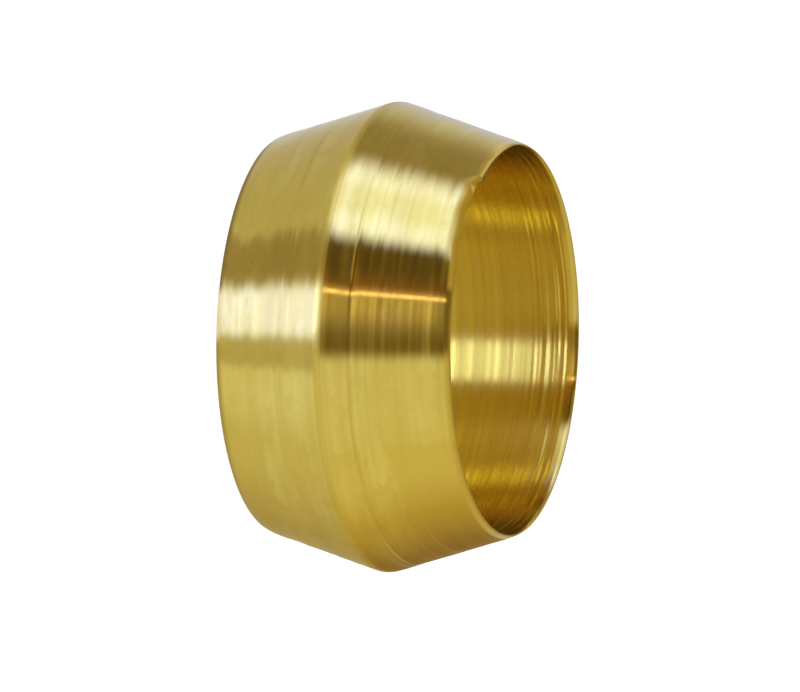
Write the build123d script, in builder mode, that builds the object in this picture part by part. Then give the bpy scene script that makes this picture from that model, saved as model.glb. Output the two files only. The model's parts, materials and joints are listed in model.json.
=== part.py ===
from build123d import *
import os

# Compression olive for a 15 mm copper tube, turned from brass bar in one piece.
# Its axis is +Z and it stands on its back end, with the origin at the centre of that end.
# All sizes are in millimetres.

# Bore, a sliding fit on the tube
tube_diameter = 15.0
bore_clearance = 0.1

# Lengths along the axis, measured from the crest to each end face
back_cone_length = 4.65
front_cone_length = 5.0

# Crest, where the two cones meet
crest_wall = 1.725
crest_radius = 0.5

# Lips, where each cone rolls over just before its end face
lip_length = 0.34
lip_drop = 0.055

# Lands, the narrow flat rings that are left on the end faces
back_land_width = 0.17
front_land_width = 0.06

# Broken inner edges, which lead the tube into the bore
bore_break_length = 0.27
bore_break_depth = 0.07

bore_radius = (tube_diameter + bore_clearance) / 2
crest_corner_radius = bore_radius + crest_wall
land_inner_radius = bore_radius + bore_break_depth
olive_length = back_cone_length + front_cone_length


def lip_radii(land_width, cone_length):
    """Radius of a cone where its lip starts, and radius of the lip where it meets the land."""
    lip_end = land_inner_radius + land_width
    cone_end = lip_end + lip_drop
    cone_slope = (crest_corner_radius - cone_end) / cone_length
    return cone_end + cone_slope * lip_length, lip_end


back_lip_start, back_lip_end = lip_radii(back_land_width, back_cone_length)
front_lip_start, front_lip_end = lip_radii(front_land_width, front_cone_length)

# The whole section is drawn once, with radius across and height up, and turned about the axis.
with BuildPart() as olive:
    with BuildSketch(Plane.XZ) as section:
        with BuildLine():
            bore_wall = Line(
                (bore_radius, olive_length - bore_break_length),
                (bore_radius, bore_break_length),
            )
            back_break = Line(bore_wall @ 1, (land_inner_radius, 0))
            back_land = Line(back_break @ 1, (back_lip_end, 0))
            back_cone = Line((back_lip_start, lip_length), (crest_corner_radius, back_cone_length))
            TangentArc(back_cone @ 0, back_land @ 1, tangent=(back_cone % 0) * -1)
            front_cone = Line(back_cone @ 1, (front_lip_start, olive_length - lip_length))
            front_lip = TangentArc(front_cone @ 1, (front_lip_end, olive_length), tangent=front_cone % 1)
            front_land = Line(front_lip @ 1, (land_inner_radius, olive_length))
            Line(front_land @ 1, bore_wall @ 0)
        make_face()
        crest = section.vertices().sort_by(Axis.X)[-1]
        fillet(crest, radius=crest_radius)
    revolve(axis=Axis.Z)

olive.part.label = "olive"

os.makedirs("parts", exist_ok=True)
export_step(olive.part, "parts/olive.step")
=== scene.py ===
import json
import math
import random
from types import SimpleNamespace

import bpy
from mathutils import Matrix, Vector


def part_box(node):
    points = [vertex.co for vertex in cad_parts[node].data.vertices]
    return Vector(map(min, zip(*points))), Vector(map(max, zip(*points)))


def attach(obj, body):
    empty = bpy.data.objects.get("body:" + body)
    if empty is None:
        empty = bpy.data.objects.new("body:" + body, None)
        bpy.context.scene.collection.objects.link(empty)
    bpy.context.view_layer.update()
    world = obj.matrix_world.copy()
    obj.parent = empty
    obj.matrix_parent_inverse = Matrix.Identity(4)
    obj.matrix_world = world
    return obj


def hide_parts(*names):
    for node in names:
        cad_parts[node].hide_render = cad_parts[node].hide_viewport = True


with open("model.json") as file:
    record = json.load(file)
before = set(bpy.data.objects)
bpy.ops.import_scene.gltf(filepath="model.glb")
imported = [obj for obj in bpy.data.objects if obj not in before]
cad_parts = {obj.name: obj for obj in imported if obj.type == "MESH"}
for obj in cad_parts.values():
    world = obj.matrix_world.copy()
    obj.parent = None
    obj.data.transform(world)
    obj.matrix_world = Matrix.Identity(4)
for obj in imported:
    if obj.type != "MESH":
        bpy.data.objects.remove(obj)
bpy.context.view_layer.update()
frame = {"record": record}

# Sizes, in metres. The length, the crest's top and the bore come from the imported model.
MM = 0.001
NODE = "olive"
node_low, node_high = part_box(NODE)
bore_mount = next(m for m in frame["record"]["mounts"] if m["name"] == "bore")
OLIVE_LENGTH = node_high.z - node_low.z
CREST_TOP_RADIUS = node_high.x
BORE_RADIUS = bore_mount["dims"]["r_mm"] * MM
BORE_BREAK_LENGTH = (OLIVE_LENGTH - bore_mount["dims"]["length_mm"] * MM) / 2

BACK_CONE_LENGTH = 4.65 * MM
FRONT_CONE_LENGTH = OLIVE_LENGTH - BACK_CONE_LENGTH
CREST_CORNER_RADIUS = BORE_RADIUS + 1.725 * MM
CREST_RADIUS = 0.5 * MM
LIP_LENGTH = 0.34 * MM
LIP_DROP = 0.055 * MM
BACK_LAND_WIDTH = 0.17 * MM
FRONT_LAND_WIDTH = 0.06 * MM
LAND_INNER_RADIUS = BORE_RADIUS + 0.07 * MM
# The mouth's broken edge, in two facets that meet at a bend
MOUTH_BREAK_LENGTH = 0.42 * MM
MOUTH_BEND_LENGTH = 0.12 * MM
MOUTH_BEND_DEPTH = 0.062 * MM
MOUTH_INNER_RADIUS = LAND_INNER_RADIUS + 0.04 * MM

# The mouth's edge has a nick. On one side of it the edge is worn back, with a slight ripple, and on the
# other a burr hangs into the bore. Turns and stretches are in degrees round the axis, and the ripple's
# phase is in radians.
NICK_TURN = 217
WORN_STRETCH = 36
WORN_FADE = 20
WORN_REACH = 0.62 * MM
WORN_DEPTH = 0.15 * MM
WORN_INWARD = 0.03 * MM
RIPPLE_SHARE = 0.18
RIPPLE_PER_DEGREE = 0.5
BURR_STRETCH = 30
BURR_START = 1.5
BURR_TAPER = 0.7
BURR_WIDTH = 0.05 * MM
BURR_DROP = 0.045 * MM
BURR_DROP_REACH = 2 * BURR_DROP
BURR_OUTER_RADIUS = MOUTH_INNER_RADIUS + 0.005 * MM

# The camera, fitted to the photograph's outline
CAMERA_ELEVATION = math.radians(19.41)
CAMERA_ROLL = math.radians(1.53)
CAMERA_DISTANCE = 0.93
PICTURE_WIDTH, PICTURE_HEIGHT = 800, 692
CREST_CENTRE_X, CREST_CENTRE_Y = 394.95, 336.93
CREST_CORNER_PIXELS = 236.01
PIXELS_PER_METRE = CREST_CORNER_PIXELS / CREST_CORNER_RADIUS
SENSOR_WIDTH = 36.0


def camera_axes():
    """Unit vectors to the picture's right, to its top and back towards the camera."""
    back = Vector((0, -math.cos(CAMERA_ELEVATION), math.sin(CAMERA_ELEVATION)))
    along_axis = Vector((0, math.sin(CAMERA_ELEVATION), math.cos(CAMERA_ELEVATION)))
    sideways = Vector((-1, 0, 0))
    right = along_axis * math.cos(CAMERA_ROLL) + sideways * math.sin(CAMERA_ROLL)
    return right, back.cross(right), back


def make_camera():
    right, up, back = camera_axes()
    crest_centre = Vector((0, 0, BACK_CONE_LENGTH))
    aim = (
        crest_centre
        + right * (PICTURE_WIDTH / 2 - CREST_CENTRE_X) / PIXELS_PER_METRE
        - up * (PICTURE_HEIGHT / 2 - CREST_CENTRE_Y) / PIXELS_PER_METRE
    )
    data = bpy.data.cameras.new("camera")
    data.sensor_width = SENSOR_WIDTH
    data.lens = SENSOR_WIDTH * PIXELS_PER_METRE * CAMERA_DISTANCE / PICTURE_WIDTH
    data.clip_start = 0.1 * CAMERA_DISTANCE
    data.clip_end = 10 * CAMERA_DISTANCE
    camera = bpy.data.objects.new("camera", data)
    camera.location = aim + back * CAMERA_DISTANCE
    camera.rotation_mode = "QUATERNION"
    camera.rotation_quaternion = Matrix((right, up, back)).transposed().to_quaternion()
    bpy.context.scene.collection.objects.link(camera)
    bpy.context.scene.camera = camera


# The turned rings. Each turned face is wavy along the axis, as three sets of rings of their own spacing,
# and has a few deeper lines where the tool dwelt. Each ring swells and fades round the circle.
POINT_PITCH = 0.042 * MM
ARC_POINTS = 8
SEGMENTS = 200
# Sets of rings: spacing and depth, in millimetres
CONE_RINGS = [(0.70, 0.0050), (0.28, 0.0034), (0.13, 0.0008)]
BORE_RINGS = [(0.60, 0.0028), (0.26, 0.0016), (0.12, 0.0006)]
# The least and most of a ring's reach and of the step to the next, as shares of the spacing, and of its
# swell, as a share of its depth. A ring swells in one of these numbers of waves round the circle.
RING_REACH = (0.7, 1.3)
RING_STEP = (0.5, 1.5)
RING_SWELL = (0.3, 0.9)
RING_WAVES = (1, 2, 3, 5, 8)
# Deeper lines: place from the crest's plane, reach behind and ahead of it, depth, all in millimetres
CONE_LINES = [
    (1.235, 0.12, 0.20, 0.0075),
    (1.42, 0.12, 0.12, 0.0020),
    (1.93, 0.14, 0.14, 0.0025),
    (3.92, 0.14, 0.14, 0.0022),
    (4.10, 0.12, 0.12, 0.0018),
    (-1.95, 0.14, 0.14, 0.0018),
    (-2.60, 0.16, 0.16, 0.0014),
]
BORE_LINES = [
    (4.48, 0.22, 0.09, 0.031),
    (4.19, 0.15, 0.10, 0.020),
    (4.01, 0.11, 0.09, 0.010),
    (3.70, 0.20, 0.13, 0.021),
    (3.43, 0.10, 0.09, 0.006),
    (3.21, 0.13, 0.12, 0.008),
    (2.95, 0.16, 0.16, 0.0040),
    (2.30, 0.14, 0.14, 0.0022),
]


def straight(start, end, count):
    """count points from start up to, but not including, end."""
    return [start.lerp(end, i / count) for i in range(count)]


def tangent_arc(start, end, direction):
    """Points on the arc that leaves start along direction and reaches end, without end itself."""
    chord = end - start
    half_turn = direction.angle_signed(chord)
    points = []
    for i in range(ARC_POINTS):
        share = i / ARC_POINTS
        reach = chord.length * math.sin(half_turn * share) / math.sin(half_turn)
        heading = direction.copy()
        heading.rotate(Matrix.Rotation(-half_turn * share, 2))
        points.append(start + heading * reach)
    return points


def make_rings(low, high, sets, lines, rng):
    """Rings from height low to height high, and the deeper lines, each as
    (place, reach behind, reach ahead, depth, swell, waves, phase)."""
    rings = []
    for spacing, depth in sets:
        place = low
        while place < high:
            reach = spacing * MM * rng.uniform(*RING_REACH)
            rings.append((place, reach, reach, rng.gauss(0, depth * MM)))
            place += spacing * MM * rng.uniform(*RING_STEP)
    for place, behind, ahead, depth in lines:
        rings.append((BACK_CONE_LENGTH + place * MM, behind * MM, ahead * MM, -depth * MM))
    whole = []
    for ring in rings:
        swell = rng.uniform(*RING_SWELL)
        waves = rng.choice(RING_WAVES)
        whole.append(ring + (swell, waves, rng.uniform(0, 2 * math.pi)))
    return whole


def turned(start, end, sets, lines, rng, fade):
    """Points along a turned face, each as (point, direction it stands off in, the rings there).
    The rings fade out over this many points at each end."""
    count = max(2, round((end - start).length / POINT_PITCH))
    along = (end - start).normalized()
    outward = Vector((along.y, -along.x))
    low, high = sorted((start.y, end.y))
    rings = make_rings(low, high, sets, lines, rng)
    points = []
    for i, point in enumerate(straight(start, end, count)):
        ends = min(1.0, i / fade, (count - i) / fade)
        here = []
        for place, behind, ahead, depth, swell, waves, phase in rings:
            side = point.y - place
            off = side / ahead if side > 0 else -side / behind
            if off < 1:
                here.append((depth * ends * (1 + math.cos(math.pi * off)) / 2, swell, waves, phase))
        points.append((point, outward, here))
    return points


def plain(points):
    """The same as turned gives, for points without rings."""
    return [(point, None, ()) for point in points]


def lip(cone_length, land_width, end_height, into_body):
    """Where a cone ends and its land begins, and the cone's direction, as (radius, height)."""
    lip_end = LAND_INNER_RADIUS + land_width
    slope = (CREST_CORNER_RADIUS - lip_end - LIP_DROP) / cone_length
    start = Vector((lip_end + LIP_DROP + slope * LIP_LENGTH, end_height + into_body * LIP_LENGTH))
    return start, Vector((lip_end, end_height)), Vector((slope, into_body)).normalized()


def section_points():
    """The olive's section as (radius, height) points, once round from the back end of the bore."""
    rng = random.Random(15)
    back_start, back_land, back_along = lip(BACK_CONE_LENGTH, BACK_LAND_WIDTH, 0, 1)
    front_start, front_land, front_along = lip(FRONT_CONE_LENGTH, FRONT_LAND_WIDTH, OLIVE_LENGTH, -1)
    crest = Vector((CREST_CORNER_RADIUS, BACK_CONE_LENGTH))
    reach = CREST_RADIUS * math.tan(back_along.angle(-front_along) / 2)
    crest_in = crest - back_along * reach
    crest_out = crest - front_along * reach
    back_inner = Vector((LAND_INNER_RADIUS, 0))
    bore_back = Vector((BORE_RADIUS, BORE_BREAK_LENGTH))
    bore_front = Vector((BORE_RADIUS, OLIVE_LENGTH - MOUTH_BREAK_LENGTH))
    mouth_bend = Vector((BORE_RADIUS + MOUTH_BEND_DEPTH, OLIVE_LENGTH - MOUTH_BEND_LENGTH))
    mouth_inner = Vector((MOUTH_INNER_RADIUS, OLIVE_LENGTH))
    back_lip = tangent_arc(back_start, back_land, -back_along)
    points = plain(straight(bore_back, back_inner, 4) + straight(back_inner, back_land, 3))
    points += plain([back_land] + back_lip[:0:-1])
    points += turned(back_start, crest_in, CONE_RINGS, CONE_LINES, rng, fade=9)
    points += plain(tangent_arc(crest_in, crest_out, back_along))
    points += turned(crest_out, front_start, CONE_RINGS, CONE_LINES, rng, fade=9)
    points += plain(tangent_arc(front_start, front_land, -front_along))
    points += plain(straight(front_land, mouth_inner, 2) + straight(mouth_inner, mouth_bend, 4))
    points += plain(straight(mouth_bend, bore_front, 5))
    points += turned(bore_front, bore_back, BORE_RINGS, BORE_LINES, rng, fade=3)
    return points


def worn_back(point, past_nick):
    """A point of the section where the mouth's edge is worn, this many degrees past the nick."""
    top_share = (point.y - OLIVE_LENGTH + WORN_REACH) / WORN_REACH
    if top_share <= 0 or point.x <= BORE_RADIUS:
        return point
    fade = min(1.0, (WORN_STRETCH - past_nick) / WORN_FADE)
    ripple = 1 - RIPPLE_SHARE * (1 - math.cos(RIPPLE_PER_DEGREE * past_nick))
    worn = fade * ripple * top_share**2
    return Vector((point.x - WORN_INWARD * worn, point.y - WORN_DEPTH * worn))


def burred(point, before_nick):
    """A point of the section where the burr hangs into the bore, this many degrees before the nick."""
    burr = min(1.0, before_nick / BURR_START) * (1 - before_nick / BURR_STRETCH) ** BURR_TAPER
    if point.y > OLIVE_LENGTH - MOUTH_BREAK_LENGTH and point.x < BURR_OUTER_RADIUS:
        hang = 1 - (OLIVE_LENGTH - point.y) / MOUTH_BREAK_LENGTH
        return Vector((point.x - (point.x - BORE_RADIUS + BURR_WIDTH * hang) * burr, point.y))
    if point.y > OLIVE_LENGTH - BURR_DROP_REACH:
        drop = 1 - (OLIVE_LENGTH - point.y) / BURR_DROP_REACH
        return Vector((point.x, point.y - BURR_DROP * drop * burr))
    return point


def worn_edge(point, turn):
    """A point of the section, moved to where wear or the burr has it at this turn round the axis."""
    past_nick = math.degrees(turn) - NICK_TURN
    if 0 < past_nick < WORN_STRETCH:
        return worn_back(point, past_nick)
    if 0 < -past_nick < BURR_STRETCH:
        return burred(point, -past_nick)
    return point


def make_olive():
    section = section_points()
    count = len(section)
    vertices = []
    for s in range(SEGMENTS):
        turn = 2 * math.pi * s / SEGMENTS
        for point, outward, rings in section:
            point = worn_edge(point, turn)
            for depth, swell, waves, phase in rings:
                point = point + outward * depth * (1 + swell * math.sin(waves * turn + phase))
            vertices.append((point.x * math.cos(turn), point.x * math.sin(turn), point.y))
    faces = []
    for s in range(SEGMENTS):
        t = (s + 1) % SEGMENTS
        for i in range(count):
            j = (i + 1) % count
            faces.append((s * count + i, t * count + i, t * count + j, s * count + j))
    mesh = bpy.data.meshes.new("turned_olive")
    mesh.from_pydata(vertices, [], faces)
    mesh.update()
    mesh.polygons.foreach_set("use_smooth", [True] * len(mesh.polygons))
    olive = bpy.data.objects.new("turned_olive", mesh)
    bpy.context.scene.collection.objects.link(olive)
    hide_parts(NODE)
    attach(olive, "root")
    return olive


def link(tree, source, target):
    """Feeds target, a socket, from source, which is a socket or a plain value."""
    if isinstance(source, bpy.types.NodeSocket):
        tree.links.new(source, target)
    else:
        target.default_value = source


def node(tree, kind, inputs=None, output=0, **settings):
    """Adds a node, sets it and feeds its inputs, and gives the output asked for."""
    made = tree.nodes.new(kind)
    for name, value in settings.items():
        setattr(made, name, value)
    for name, value in (inputs or {}).items():
        link(tree, value, made.inputs[name])
    return made.outputs[output]


def maths(tree, operation, *values):
    return node(tree, "ShaderNodeMath", dict(enumerate(values)), operation=operation)


def product(tree, first, *others):
    """first times all the others."""
    for other in others:
        first = maths(tree, "MULTIPLY", first, other)
    return first


def split_xyz(tree, vector):
    """The three parts of a vector."""
    split = tree.nodes.new("ShaderNodeSeparateXYZ")
    link(tree, vector, split.inputs[0])
    return split.outputs


def ramp(tree, value, low, high, low_out=0.0, high_out=1.0, smooth=True):
    """value carried from low..high to low_out..high_out, and held there beyond the two ends."""
    inputs = {"Value": value, "From Min": low, "From Max": high, "To Min": low_out, "To Max": high_out}
    kind = "SMOOTHSTEP" if smooth else "LINEAR"
    return node(tree, "ShaderNodeMapRange", inputs, "Result", interpolation_type=kind)


def mixed(tree, amount, first, second):
    """first where amount is 0 and second where it is 1. Both are colours."""
    made = tree.nodes.new("ShaderNodeMix")
    made.data_type = "RGBA"
    link(tree, amount, made.inputs["Factor"])
    for name, colour in (("A", first), ("B", second)):
        socket = next(i for i in made.inputs if i.name == name and i.type == "RGBA")
        link(tree, (*colour, 1.0) if isinstance(colour, tuple) else colour, socket)
    return next(o for o in made.outputs if o.type == "RGBA")


def mixed_number(tree, amount, first, second):
    """The same for plain numbers, which a Mix node takes in its sockets 2 and 3."""
    return node(tree, "ShaderNodeMix", {0: amount, 2: first, 3: second})


# The studio's panels, by the angle round the olive's axis where each is mirrored to the camera:
# 0 faces the camera and + is towards the picture's top. Each row is the panel's lower and upper
# edge, how soft each edge is, in degrees, and its colour. The last number is how far the edges
# run round for each degree that the mirror leans, which is what makes the rings fray them.
# A later row covers those above it, and an upper edge at OPEN is past the far side of the dome.
OPEN = 200
BACK_CONE_BASE = (0.44, 0.37, 0.18)
BACK_CONE_PANELS = [
    (-50, OPEN, 40, 30, (0.68, 0.67, 0.75), 0),
    (-24, OPEN, 16, 30, (0.79, 0.83, 1.20), 0),
    (-9, -0.5, 3, 3, (0.56, 0.55, 0.68), 0.2),
    (-0.5, 12.6, 4.0, 5.5, (1.10, 1.29, 4.90), 0.2),
    (12.8, 28, 5, 5, (0.35, 0.30, 0.29), 0.5),
    (28, OPEN, 5, 5, (0.55, 0.545, 0.71), 0.8),
    (66, OPEN, 14, 5, (0.61, 0.64, 0.77), 0),
    (79, OPEN, 6, 5, (0.90, 0.92, 0.92), 0),
]
FRONT_CONE_BASE = (0.25, 0.15, 0.03)
FRONT_CONE_PANELS = [
    (-66, OPEN, 36, 30, (0.57, 0.48, 0.28), 0),
    (-48, OPEN, 20, 30, (0.73, 0.71, 0.70), 0),
    (-28, OPEN, 16, 30, (0.75, 0.76, 0.94), 0),
    (-4.8, OPEN, 5, 30, (0.06, 0.037, 0.018), 0.4),
    (4.0, OPEN, 7, 30, (0.26, 0.20, 0.12), 1.7),
    (10.5, 11.5, 0.8, 0.6, (2.1, 1.65, 1.9), 0),
    (11.6, OPEN, 0.6, 30, (0.46, 0.25, 0.12), 0),
    (12.7, OPEN, 2.0, 30, (0.24, 0.11, 0.045), 0),
    (14.4, OPEN, 4, 30, (0.068, 0.042, 0.026), 0.7),
    (25.5, OPEN, 5.5, 30, (1.32, 1.60, 5.20), 0.25),
    (32, 41, 5, 5, (1.17, 1.41, 3.60), 0),
    (48.0, OPEN, 9, 30, (0.30, 0.26, 0.27), -0.5),
    (71, OPEN, 22, 30, (0.60, 0.63, 0.80), 0),
]
# These cover the front cone's panels where its rings lean back from it
BACK_LEANING_PANELS = [
    (-4.8, 10.2, 5, 1.5, (0.28, 0.21, 0.10), 0),
    (4.0, 10.2, 8, 1.5, (0.80, 0.66, 0.42), 0),
]
# Mirrored by the bore and by the middle of the crest
MIDDLE_BASE = (0.45, 0.36, 0.16)
MIDDLE_PANELS = [
    (-62, OPEN, 20, 30, (0.56, 0.50, 0.38), 0),
    (-38, OPEN, 12, 30, (0.76, 0.72, 0.66), 0),
    (-12, 0, 6, 3, (0.80, 0.76, 0.80), 0),
    (0, 12.8, 3, 3, (1.08, 1.16, 3.00), 0),
    (12.8, OPEN, 4, 30, (0.46, 0.385, 0.20), 0),
    (26, OPEN, 5, 30, (0.90, 0.82, 0.60), 0),
    (50, OPEN, 6, 30, (0.47, 0.42, 0.42), 0),
    (66, OPEN, 12, 30, (0.54, 0.51, 0.60), 0),
]
# Mirrored by the crest's back edge and by the bore's lines, and part of the bore's blurred reflections
SHOULDER_BASE = (0.54, 0.48, 0.30)
SHOULDER_PANELS = [
    (0.5, 12.8, 2.5, 2.5, (3.7, 4.8, 14.0), 0),
    (12.8, OPEN, 4, 30, (0.48, 0.41, 0.22), 0),
    (28, OPEN, 4, 30, (0.64, 0.58, 0.46), 0),
]
# Mirrored by the front lip
LIP_BASE = (0.64, 0.57, 0.44)
LIP_PANELS = [
    (-4.5, 15, 5, 4, (0.16, 0.11, 0.05), 0),
    (15, 52, 5, 2, (0.50, 0.42, 0.26), 0),
    (52, 72, 2, 10, (0.40, 0.37, 0.36), 0),
    (72, OPEN, 10, 10, (0.66, 0.66, 0.80), 0),
]
# Mirrored by the back lip
BACK_LIP_BASE = (0.46, 0.41, 0.36)
BACK_LIP_PANELS = [
    (-2, OPEN, 4, 30, (0.95, 1.05, 2.75), 0),
    (12, OPEN, 4, 30, (0.26, 0.22, 0.25), 0),
    (72, OPEN, 12, 30, (0.60, 0.60, 0.75), 0),
]
# Mirrored by the end of the lip, the end face and the mouth's broken edge
EDGE_BASE = (0.40, 0.34, 0.25)
EDGE_PANELS = [
    (-136, -92, 6, 6, (0.18, 0.12, 0.04), 0),
    (-8, 12, 5, 5, (0.40, 0.33, 0.22), 0),
    (12, 52, 5, 2, (0.42, 0.33, 0.15), 0),
    (52, 80, 2, 12, (0.66, 0.58, 0.62), 0),
]

# Leans of the mirroring surface, in degrees to the front: the front cone's own, and the stretches over which
# the sets of panels give way to each other. The last pair is measured from the front cone's lean.
CONE_LEAN = 17.1
BACK_LIP_LEANS = (-28.0, -20.0)
SHOULDER_LEANS = (-12.5, -7.5)
MIDDLE_LEANS = (-5.0, -1.0)
FRONT_CONE_LEANS = (-1.0, 14.5)
LIP_LEANS = (19.5, 24.0)
EDGE_LEANS = (28.0, 33.0)
BACK_LEANING_LEANS = (-1.5, 1.5)


def panels(tree, angle, lean, base, rows):
    """The colour that a set of panels shows at an angle round the axis."""
    colour = base
    for low, high, low_soft, high_soft, shade, slant in rows:
        place = maths(tree, "MULTIPLY_ADD", lean, slant, angle) if slant else angle
        rise = ramp(tree, place, low - low_soft / 2, low + low_soft / 2)
        fall = ramp(tree, place, high - high_soft / 2, high + high_soft / 2, 1.0, 0.0)
        colour = mixed(tree, product(tree, rise, fall), colour, shade)
    return colour


def mirror_angles(tree):
    """Which way a mirror faces that shows a place on the dome to the camera: its angle round the olive's
    axis, and how far it leans to the front, both in degrees."""
    direction = node(tree, "ShaderNodeTexCoord", output="Generated")
    to_camera = camera_axes()[2]
    halfway = node(tree, "ShaderNodeVectorMath", {0: direction, 1: to_camera}, operation="ADD")
    x, y, z = split_xyz(tree, node(tree, "ShaderNodeVectorMath", {0: halfway}, operation="NORMALIZE"))
    up = maths(tree, "MULTIPLY", x, -1.0)
    near = maths(tree, "MULTIPLY", y, -1.0)
    round_axis = maths(tree, "DEGREES", maths(tree, "ARCTAN2", up, near))
    return round_axis, maths(tree, "DEGREES", maths(tree, "ARCSINE", z))


def studio_colour(tree):
    """The dome's colour: each set of panels where the part of the olive that mirrors it leans."""
    round_axis, lean = mirror_angles(tree)
    from_back = maths(tree, "ADD", lean, CONE_LEAN)
    from_front = maths(tree, "SUBTRACT", lean, CONE_LEAN)
    back = panels(tree, round_axis, from_back, BACK_CONE_BASE, BACK_CONE_PANELS)
    front = panels(tree, round_axis, from_front, FRONT_CONE_BASE, FRONT_CONE_PANELS)
    back_leaning = panels(tree, round_axis, from_front, front, BACK_LEANING_PANELS)
    front = mixed(tree, ramp(tree, from_front, *BACK_LEANING_LEANS, 1.0, 0.0), front, back_leaning)
    middle = panels(tree, round_axis, lean, MIDDLE_BASE, MIDDLE_PANELS)
    shoulder = panels(tree, round_axis, lean, SHOULDER_BASE, SHOULDER_PANELS)
    lip_side = panels(tree, round_axis, lean, LIP_BASE, LIP_PANELS)
    back_lip = panels(tree, round_axis, lean, BACK_LIP_BASE, BACK_LIP_PANELS)
    edge = panels(tree, round_axis, lean, EDGE_BASE, EDGE_PANELS)
    colour = mixed(tree, ramp(tree, lean, *SHOULDER_LEANS), back, shoulder)
    colour = mixed(tree, ramp(tree, lean, *MIDDLE_LEANS), colour, middle)
    colour = mixed(tree, ramp(tree, lean, *FRONT_CONE_LEANS, smooth=False), colour, front)
    colour = mixed(tree, ramp(tree, lean, *LIP_LEANS), colour, lip_side)
    colour = mixed(tree, ramp(tree, lean, *EDGE_LEANS), colour, edge)
    return mixed(tree, ramp(tree, lean, *BACK_LIP_LEANS, 1.0, 0.0), colour, back_lip)


def make_studio():
    """A dome of soft panels, which the camera itself sees as plain white."""
    world = bpy.data.worlds.new("studio")
    world.use_nodes = True
    tree = world.node_tree
    tree.nodes.clear()
    lights = node(tree, "ShaderNodeBackground", {"Color": studio_colour(tree)})
    white = node(tree, "ShaderNodeBackground", {"Color": (1, 1, 1, 1)})
    is_camera = node(tree, "ShaderNodeLightPath", output="Is Camera Ray")
    surface = node(tree, "ShaderNodeMixShader", {0: is_camera, 1: lights, 2: white})
    link(tree, surface, tree.nodes.new("ShaderNodeOutputWorld").inputs["Surface"])
    bpy.context.scene.world = world


# The brass's colours, and how much of each shows where it is strongest
PALE_RING = (0.865, 0.678, 0.13)
DEEP_RING = (0.78, 0.59, 0.098)
TARNISH, TARNISH_SHARE = (0.805, 0.605, 0.092), 0.8
SMUDGE, SMUDGE_SHARE = (0.76, 0.575, 0.085), 0.7
# Painted shade: the bore's brass is coloured deeper and darker than the cones'.
BORE_SHADE_BRASS, BORE_SHADE_SHARE = (0.77, 0.553, 0.056), 0.9
# Painted highlight: the crest's brass is paler than the cones beside it.
CREST_HIGHLIGHT_BRASS, CREST_HIGHLIGHT_SHARE = (0.875, 0.695, 0.13), 0.35
# Painted shade: the deepest line is coloured darker.
LINE_SHADE, LINE_SHADE_SHARE = (0.62, 0.45, 0.06), 0.40
# Painted reflection: a darker golden patch on the front cone's side that faces the camera.
REFLECTION_PATCH, REFLECTION_PATCH_SHARE = (0.77, 0.56, 0.08), 0.8
# Painted shade: the mouth's broken edge is coloured darker, more so towards the end face.
MOUTH_BREAK_SHADE, MOUTH_BREAK_SHADE_SHARES = (0.68, 0.49, 0.07), (0.15, 0.7)

# Where the brass changes, in metres. A pair is the stretch over which it does.
OUTSIDE_RADII = (BORE_RADIUS + 0.03 * MM, BORE_RADIUS + 0.06 * MM)
CREST_RADII = (CREST_TOP_RADIUS - 0.035 * MM, CREST_TOP_RADIUS - 0.015 * MM)
MOUTH_BREAK_RADII = (LAND_INNER_RADIUS, LAND_INNER_RADIUS + 0.05 * MM)
MOUTH_BREAK_HEIGHTS = (OLIVE_LENGTH - 0.36 * MM, OLIVE_LENGTH)
SMOOTH_BORE_HEIGHTS = (OLIVE_LENGTH - 1.3 * MM, OLIVE_LENGTH - 0.6 * MM)
LINE_SHADE_HEIGHT = BACK_CONE_LENGTH + CONE_LINES[0][0] * MM
LINE_SHADE_REACH = (0.03 * MM, 0.15 * MM)
# Where the painted reflection lies
REFLECTION_PATCH_SIDES = (3.9 * MM, 4.15 * MM)
REFLECTION_PATCH_HEIGHTS = (BACK_CONE_LENGTH + 2.2 * MM, BACK_CONE_LENGTH + 2.4 * MM)
REFLECTION_PATCH_DEPTHS = (-1.0 * MM, 1.0 * MM)
REFLECTION_PATCH_WANDER = 0.9 * MM

# The stretches of a noise's values over which a mark comes in, and what is left of the rings and of the
# painted shade in the deepest line at the two ends of the first
SWELL_NOISE = (0.35, 0.65)
RING_SHARES = (0.2, 1.0)
LINE_SHADE_SHARES = (0.4, 1.0)
TONE_NOISE = (0.10, 0.45)
TARNISH_NOISE = (0.44, 0.62)
SMUDGE_NOISE = (0.48, 0.64)
WANDER_NOISE = (0.25, 0.75)
ROUGH_NOISE = (0.30, 0.70)

# Roughness, from the smoothest ring to the roughest, and the depth of the relief
CONE_ROUGHNESS = (0.12, 0.16)
BORE_ROUGHNESS = (0.22, 0.32)
SMOOTH_BORE_SHARE = 0.8
CREST_ADDED_ROUGHNESS = 0.16
RELIEF_DEPTH = 0.0012 * MM
BORE_RELIEF, CONE_RELIEF = 0.045, 0.5
BROAD_RELIEF = 2.5


def noise(tree, position, stretch, detail=2.0, roughness=0.5):
    """Noise of the place, with stretch features a metre along each axis."""
    scaled = node(tree, "ShaderNodeVectorMath", {0: position, 1: stretch}, operation="MULTIPLY")
    inputs = {"Vector": scaled, "Scale": 1.0, "Detail": detail, "Roughness": roughness}
    return node(tree, "ShaderNodeTexNoise", inputs, "Fac")


def ring_noise(tree, height, rings_per_metre, detail):
    """Noise of the height alone, so that it is the same all round the axis."""
    inputs = {"W": product(tree, height, rings_per_metre), "Scale": 1.0, "Detail": detail}
    return node(tree, "ShaderNodeTexNoise", inputs, "Fac", noise_dimensions="1D")


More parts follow.
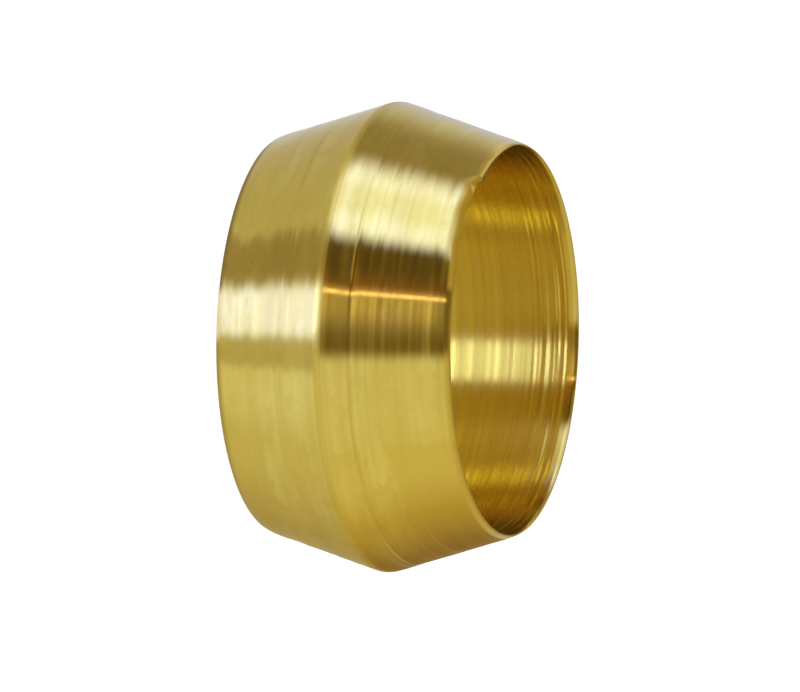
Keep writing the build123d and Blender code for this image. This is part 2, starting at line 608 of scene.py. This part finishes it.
def brass_places(tree):
    """What the marks on the brass are placed by: the position, its parts and its radius, and whether it is
    outside the bore and on the crest, from 0 to 1."""
    position = node(tree, "ShaderNodeTexCoord", output="Object")
    x, y, z = split_xyz(tree, position)
    flat = node(tree, "ShaderNodeCombineXYZ", {"X": x, "Y": y})
    radius = node(tree, "ShaderNodeVectorMath", {0: flat}, "Value", operation="LENGTH")
    outside = ramp(tree, radius, *OUTSIDE_RADII)
    on_crest = ramp(tree, radius, *CREST_RADII)
    return SimpleNamespace(
        position=position, x=x, y=y, z=z, radius=radius, outside=outside, on_crest=on_crest
    )


def brass_rings(tree, at):
    """Two more sets of rings, for the colour and the relief. They swell and fade round the axis, but even
    doesn't."""
    fine = ring_noise(tree, at.z, rings_per_metre=15000.0, detail=2.0)
    even = ring_noise(tree, at.z, rings_per_metre=2800.0, detail=3.0)
    fine_swell = noise(tree, at.position, stretch=(170.0, 170.0, 1200.0))
    broad_swell = noise(tree, at.position, stretch=(140.0, 140.0, 700.0))
    fine = product(tree, fine, ramp(tree, fine_swell, *SWELL_NOISE, *RING_SHARES))
    broad = product(tree, even, ramp(tree, broad_swell, *SWELL_NOISE, *RING_SHARES))
    return SimpleNamespace(fine=fine, broad=broad, even=even, swell=fine_swell)


def line_shade(tree, at, rings):
    """How much painted shade darkens the deepest line. It is patchy round the axis."""
    from_line = maths(tree, "ABSOLUTE", maths(tree, "SUBTRACT", at.z, LINE_SHADE_HEIGHT))
    in_line = ramp(tree, from_line, *LINE_SHADE_REACH, LINE_SHADE_SHARE, 0.0)
    return product(tree, in_line, at.outside, ramp(tree, rings.swell, *SWELL_NOISE, *LINE_SHADE_SHARES))


def reflection_patch(tree, at):
    """How strong the painted reflection on the front cone is: a darker golden patch that lies low in the
    picture, on the side that faces the camera, with a wandering edge."""
    wander = noise(tree, at.position, stretch=(420.0, 420.0, 420.0), detail=3.0)
    wander = ramp(tree, wander, *WANDER_NOISE, -1.0, 1.0, smooth=False)
    side = maths(tree, "MULTIPLY_ADD", wander, REFLECTION_PATCH_WANDER, at.x)
    above = maths(tree, "MULTIPLY_ADD", wander, -REFLECTION_PATCH_WANDER, at.z)
    low_side = ramp(tree, side, *REFLECTION_PATCH_SIDES)
    past_crest = ramp(tree, above, *REFLECTION_PATCH_HEIGHTS)
    near_side = ramp(tree, at.y, *REFLECTION_PATCH_DEPTHS, 1.0, 0.0)
    return product(tree, low_side, past_crest, near_side, at.outside, REFLECTION_PATCH_SHARE)


def mouth_break_shade(tree, at):
    """How deep the painted shade is on the mouth's broken edge. It deepens towards the end face."""
    inside = maths(tree, "SUBTRACT", at.outside, ramp(tree, at.radius, *MOUTH_BREAK_RADII))
    return product(tree, inside, ramp(tree, at.z, *MOUTH_BREAK_HEIGHTS, *MOUTH_BREAK_SHADE_SHARES))


def brass_colour(tree, at, rings):
    """Paler and deeper rings, golden patches where it has been handled, painted shade that deepens the bore,
    a painted highlight that pales the crest, painted shade in the deepest line, a painted reflection low on
    the front cone and painted shade on the mouth's broken edge.
    """
    tone = ramp(tree, rings.broad, *TONE_NOISE, smooth=False)
    colour = mixed(tree, tone, PALE_RING, DEEP_RING)
    patches = noise(tree, at.position, stretch=(240.0, 240.0, 900.0), detail=3.0)
    colour = mixed(tree, ramp(tree, patches, *TARNISH_NOISE, 0.0, TARNISH_SHARE), colour, TARNISH)
    smudges = noise(tree, at.position, stretch=(900.0, 900.0, 1500.0), detail=3.0, roughness=0.6)
    smudged = product(tree, at.outside, ramp(tree, smudges, *SMUDGE_NOISE, 0.0, SMUDGE_SHARE))
    colour = mixed(tree, smudged, colour, SMUDGE)
    # Painted shade: the bore gets the deeper, darker brass.
    colour = mixed(tree, ramp(tree, at.outside, 0.0, 1.0, BORE_SHADE_SHARE, 0.0), colour, BORE_SHADE_BRASS)
    # Painted highlight: the crest is coloured paler.
    colour = mixed(tree, product(tree, at.on_crest, CREST_HIGHLIGHT_SHARE), colour, CREST_HIGHLIGHT_BRASS)
    # Painted shade: darker colour in and beside the deepest line.
    colour = mixed(tree, line_shade(tree, at, rings), colour, LINE_SHADE)
    # Painted reflection: the darker golden patch low on the front cone.
    colour = mixed(tree, reflection_patch(tree, at), colour, REFLECTION_PATCH)
    # Painted shade on the mouth's broken edge.
    return mixed(tree, mouth_break_shade(tree, at), colour, MOUTH_BREAK_SHADE)


def brass_roughness(tree, at, rings):
    """The rings differ. The bore is coarser than the cones, a little less so near its mouth."""
    cones = ramp(tree, rings.even, *ROUGH_NOISE, *CONE_ROUGHNESS, smooth=False)
    bore = ramp(tree, rings.even, *ROUGH_NOISE, *BORE_ROUGHNESS, smooth=False)
    near_mouth = ramp(tree, at.z, *SMOOTH_BORE_HEIGHTS)
    bore = product(tree, bore, ramp(tree, near_mouth, 0.0, 1.0, 1.0, SMOOTH_BORE_SHARE))
    rough = mixed_number(tree, at.outside, bore, cones)
    return maths(tree, "MULTIPLY_ADD", at.on_crest, CREST_ADDED_ROUGHNESS, rough)


def brass_relief(tree, at, rings):
    height = maths(tree, "ADD", rings.fine, product(tree, rings.broad, BROAD_RELIEF))
    strength = ramp(tree, at.outside, 0.0, 1.0, BORE_RELIEF, CONE_RELIEF, smooth=False)
    return node(tree, "ShaderNodeBump", {"Height": height, "Strength": strength, "Distance": RELIEF_DEPTH})


def brass():
    """Turned brass, whose reflections are drawn out across its rings."""
    material = bpy.data.materials.new("turned_brass")
    material.use_nodes = True
    tree = material.node_tree
    shader = tree.nodes["Principled BSDF"]
    shader.inputs["Metallic"].default_value = 1.0
    shader.inputs["Anisotropic"].default_value = 0.95
    shader.inputs["Anisotropic Rotation"].default_value = 0.25
    tangent = node(tree, "ShaderNodeTangent", direction_type="RADIAL", axis="Z")
    link(tree, tangent, shader.inputs["Tangent"])
    at = brass_places(tree)
    rings = brass_rings(tree, at)
    link(tree, brass_colour(tree, at, rings), shader.inputs["Base Color"])
    link(tree, brass_roughness(tree, at, rings), shader.inputs["Roughness"])
    link(tree, brass_relief(tree, at, rings), shader.inputs["Normal"])
    return material


def make_floor():
    """A plain pale floor, which casts no tint on the olive and shows in none of its reflections."""
    half_width = 0.5
    corners = [(-half_width, -half_width, 0), (half_width, -half_width, 0)]
    corners += [(half_width, half_width, 0), (-half_width, half_width, 0)]
    mesh = bpy.data.meshes.new("floor")
    mesh.from_pydata(corners, [], [(0, 1, 2, 3)])
    floor = bpy.data.objects.new("floor", mesh)
    bpy.context.scene.collection.objects.link(floor)
    material = bpy.data.materials.new("floor")
    material.use_nodes = True
    shader = material.node_tree.nodes["Principled BSDF"]
    shader.inputs["Base Color"].default_value = (0.3, 0.3, 0.3, 1)
    shader.inputs["Roughness"].default_value = 1.0
    shader.inputs["Emission Color"].default_value = (1, 1, 1, 1)
    shader.inputs["Emission Strength"].default_value = 0.95
    mesh.materials.append(material)
    floor.visible_glossy = False
    floor.visible_shadow = False


olive = make_olive()
olive.data.materials.append(brass())
make_camera()
make_studio()
make_floor()
bpy.context.scene.view_settings.view_transform = "Standard"
